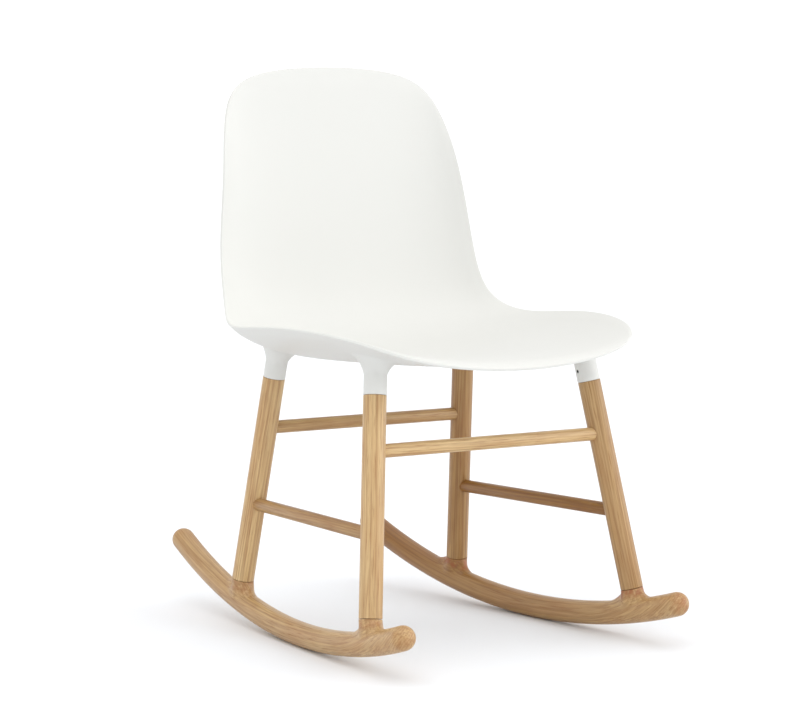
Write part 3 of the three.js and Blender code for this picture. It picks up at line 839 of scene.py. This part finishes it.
def rod_aim(into_frame, seam, axis, radius):
    """The way from a stub's seam to the rod's own centre line, under the leg."""
    back = into_frame.inverted()
    start, way = back @ seam, back.to_3x3() @ axis
    bend = FLOOR_RADIUS - radius
    reach = 0.0
    for _ in range(8):
        point = start + way * reach
        reach += bend - math.hypot(point.y, FLOOR_RADIUS - point.z)
    target = start + way * reach
    target.x = 0
    return (into_frame @ target - seam).normalized()


class CHAIR_OT_rockers(bpy.types.Operator):
    """Bend the two rockers and raise the stubs that take the legs"""

    bl_idname = "chair.rockers"
    bl_label = "Rockers"

    def execute(self, context):
        base = context.scene.chair_base
        front, rear, down = base.stub_flare

        for number, (side, sign) in enumerate(SIDES.items()):
            rod = rocker_rod(base.rocker_radius)
            place = Vector((ROCKER_PLACE.x * sign, ROCKER_PLACE.y, 0))
            into_frame = Matrix.Translation(place) @ Matrix.Rotation(ROCKER_TOE * sign, 4, "Z")
            bmesh.ops.transform(rod, matrix=into_frame, verts=rod.verts)

            def foot_reach(outwards, into_frame=into_frame):
                """The foot of a stub is an oval that is longer along the rod than across it."""
                way = into_frame.inverted().to_3x3() @ outwards
                along = base.leg_radius + (rear if way.y > 0 else front)
                across = STUB_FOOT * base.rocker_radius
                oval = (abs(way.y) / along) ** STUB_POWER + (abs(way.x) / across) ** STUB_POWER
                return oval ** (-1 / STUB_POWER)

            tree = BVHTree.FromBMesh(rod)
            bodies = [rod]
            for end in LEGS:
                foot, _, axis = leg_line(end, side)
                seam = foot - axis * GAP
                bodies.append(flared_post(
                    tree, seam, -axis, rod_aim(into_frame, seam, -axis, base.rocker_radius),
                    base.leg_radius, DOWEL_RADIUS + GAP, DOWEL_REACH, foot_reach, down,
                    bite=0.3 * MM, edge=0.5 * MM))
            whole = merge_bodies(bodies)
            mark_rocker_grain(whole, into_frame, base.rocker_radius, number)
            finish_piece(f"oak_rocker_{side}", f"rocker_{side}", whole, oak_finish(base))
        return {"FINISHED"}


def mark_rocker_grain(bm, into_frame, radius, number):
    """The rod's grain follows its bend and runs out upwards towards the front end."""
    layer = bm.verts.layers.float_vector.new("grain")
    soaked, dark = bm.verts.layers.float.new("stub"), bm.verts.layers.float.new("tone")
    back = into_frame.inverted()
    bend = FLOOR_RADIUS - radius
    first, last = (bend * angle for angle in ROCKER_ENDS)
    # The rocker's painted shade at its front and at its back.
    fore, aft = ROCKER_PAINTED_SHADES[number]
    run_out_start, run_out_rate = 120 * MM, 1.6  # where the grain leaves the bend, and how fast
    soak_depth, end_soak = 5 * MM, 0.7  # over which a stub's stain comes in; the ends' share of it
    pith = Vector(((38 + 9 * number) * MM, -12 * MM, 11 + 3 * number))
    for vert in bm.verts:
        local = back @ vert.co
        raised = FLOOR_RADIUS - local.z
        run = bend * math.atan2(local.y, raised)
        depth = bend - math.hypot(local.y, raised)
        run_out = run_out_rate * max(0, -run - run_out_start) ** 2
        past_end = max(first - run, run - last) / radius
        vert[layer] = Vector((local.x, depth - run_out, run)) + pith
        stain = np.clip(max((depth - radius) / soak_depth, end_soak * past_end), 0, 1)
        vert[soaked] = STUB_STAINS[number] * float(stain)
        # Painted shade that changes evenly from the front to the back of the rocker.
        vert[dark] = fore + (aft - fore) * (run - first) / (last - first)


class CHAIR_OT_fixings(bpy.types.Operator):
    """Make the four leg screws and finish the four hidden dowels"""

    bl_idname = "chair.fixings"
    bl_label = "Screws and dowels"

    def execute(self, context):
        steel, beech = blackened_steel(), milled_beech()
        for end, side in PAIRS:
            place, out = screw_line(end, side)
            floor = SCREW_TOP - MM
            bm = spun([
                (0, SCREW_TIP), (SCREW_SHANK - 0.5 * MM, SCREW_TIP),
                (SCREW_SHANK, SCREW_TIP + 0.5 * MM), (SCREW_SHANK, SCREW_SEAT),
                (SCREW_HEAD, SCREW_SEAT), *rounded((SCREW_HEAD - 0.5 * MM, SCREW_TOP - 0.5 * MM),
                                                   0.5 * MM, 0, 90),
                (SCREW_HEX + 0.2 * MM, SCREW_TOP), (SCREW_HEX, SCREW_TOP - 0.2 * MM),
                (SCREW_HEX, floor), (0, floor - 0.3 * MM)], 48)
            for vert in bm.verts:
                reach = vert.co.xy.length
                if 0 < reach < SCREW_HEX + 0.3 * MM and vert.co.z > SCREW_SEAT + 0.1 * MM:
                    turn = math.atan2(vert.co.y, vert.co.x) % (math.pi / 3) - math.pi / 6
                    vert.co.xy *= math.cos(math.pi / 6) / math.cos(turn)
            stand(bm, place, out)
            finish_piece(f"black_screw_{end}_{side}", f"leg_screw_{end}_{side}", bm, steel,
                         sharp_angle=30)
            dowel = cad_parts[f"dowel_{end}_{side}"]
            dowel.data.materials.clear()
            dowel.data.materials.append(beech)
        return {"FINISHED"}


class CHAIR_OT_stage(bpy.types.Operator):
    """Lay the floor and set the camera and the soft lights"""

    bl_idname = "chair.stage"
    bl_label = "Stage"

    def execute(self, context):
        scene, settings = context.scene, context.scene.chair_stage
        bm = bmesh.new()
        bmesh.ops.create_grid(bm, x_segments=40, y_segments=40, size=FLOOR_REACH)
        mesh = bpy.data.meshes.new("studio_floor")
        bm.to_mesh(mesh)
        bm.free()
        mesh.materials.append(painted_floor(settings))
        floor = bpy.data.objects.new("studio_floor", mesh)
        scene.collection.objects.link(floor)

        scene.world = white_studio(settings)
        scene.view_settings.view_transform = "Standard"

        level = math.cos(CAMERA_ELEVATION)
        back = Vector((
            math.sin(CAMERA_AZIMUTH) * level, -math.cos(CAMERA_AZIMUTH) * level,
            math.sin(CAMERA_ELEVATION)))
        right = Vector((math.cos(CAMERA_AZIMUTH), math.sin(CAMERA_AZIMUTH), 0))
        target = UP * CAMERA_HEIGHT - right * CAMERA_SHIFT
        lens = bpy.data.cameras.new("camera")
        lens.sensor_width, lens.lens = CAMERA_SENSOR, CAMERA_LENS
        lens.clip_start, lens.clip_end = 0.05, 200
        camera = bpy.data.objects.new("camera", lens)
        turn = Matrix((right, back.cross(right), back)).transposed().to_4x4()
        camera.matrix_world = Matrix.Translation(target + back * CAMERA_DISTANCE) @ turn
        scene.collection.objects.link(camera)
        scene.camera = camera

        light = bpy.data.lights.new("broad_softbox", "SUN")
        light.angle, light.energy = SOFTBOX_WIDTH, settings.key_power
        softbox = bpy.data.objects.new("broad_softbox", light)
        softbox.matrix_world = SOFTBOX_WAY.to_track_quat("Z", "Y").to_matrix().to_4x4()
        scene.collection.objects.link(softbox)
        return {"FINISHED"}


OPERATORS = (
    CHAIR_OT_shell, CHAIR_OT_legs, CHAIR_OT_rungs, CHAIR_OT_rockers, CHAIR_OT_fixings,
    CHAIR_OT_stage,
)


class CHAIR_PT_parts(bpy.types.Panel):
    """Lists what can be built and the sizes and colours it is built with"""

    bl_idname = "CHAIR_PT_parts"
    bl_label = "Rocking Chair"
    bl_space_type = "VIEW_3D"
    bl_region_type = "UI"
    bl_category = "Rocking Chair"

    def draw(self, context):
        for group in ("chair_shell", "chair_base", "chair_stage"):
            settings = getattr(context.scene, group)
            box = self.layout.box()
            for name in settings.__annotations__:
                box.prop(settings, name)
        for operator in OPERATORS:
            self.layout.operator(operator.bl_idname)


GROUPS = {"chair_shell": ShellSettings, "chair_base": BaseSettings, "chair_stage": StageSettings}
CLASSES = (*GROUPS.values(), *OPERATORS, CHAIR_PT_parts)


def register():
    for each in CLASSES:
        bpy.utils.register_class(each)
    for name, group in GROUPS.items():
        setattr(bpy.types.Scene, name, bpy.props.PointerProperty(type=group))


def unregister():
    for name in GROUPS:
        delattr(bpy.types.Scene, name)
    for each in reversed(CLASSES):
        bpy.utils.unregister_class(each)


def main():
    register()
    bpy.ops.chair.shell()
    bpy.ops.chair.legs()
    bpy.ops.chair.rungs()
    bpy.ops.chair.rockers()
    bpy.ops.chair.fixings()
    bpy.ops.chair.stage()


if __name__ == "__main__":
    main()
